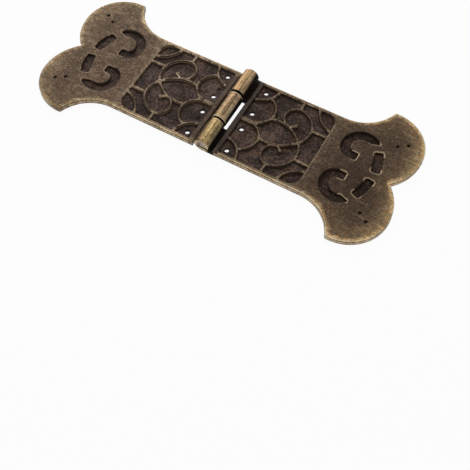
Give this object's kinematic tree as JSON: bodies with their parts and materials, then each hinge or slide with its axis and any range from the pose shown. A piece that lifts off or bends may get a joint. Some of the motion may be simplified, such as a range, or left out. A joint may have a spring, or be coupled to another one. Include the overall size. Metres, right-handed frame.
{
  "type": "decorative hinge",
  "caption": "Decorative box hinge with flared, lobed leaves, raised scrollwork panels and rolled knuckles that fold about a plain pin.",
  "frame": {"origin": "on the plane of the leaves' backs, below the middle of the pin, which is the bottom centre of the opened hinge", "axes": "+X from the pin towards the right leaf's head, +Y along the pin, +Z out of the ornamented faces"},
  "size_m": [0.095, 0.0394, 0.004],
  "materials": {
    "leaf_bronze": "antique bronze, mottled brown on the faces, darker in the recesses and worn golden along edges and ribs",
    "pin_metal": "dull grey brown, with a little of the bronze left on its ends"
  },
  "bodies": {
    "right_side": {"right_leaf": "leaf_bronze", "hinge_pin": "pin_metal"},
    "left_side": {"left_leaf": "leaf_bronze"}
  },
  "joints": [
    {"name": "leaf_swing", "type": "hinge", "parent": "right_side", "child": "left_side", "pos_m": [0, 0, 0.002], "axis": [0, 1, 0], "range_deg": [-100, 180]}
  ]
}
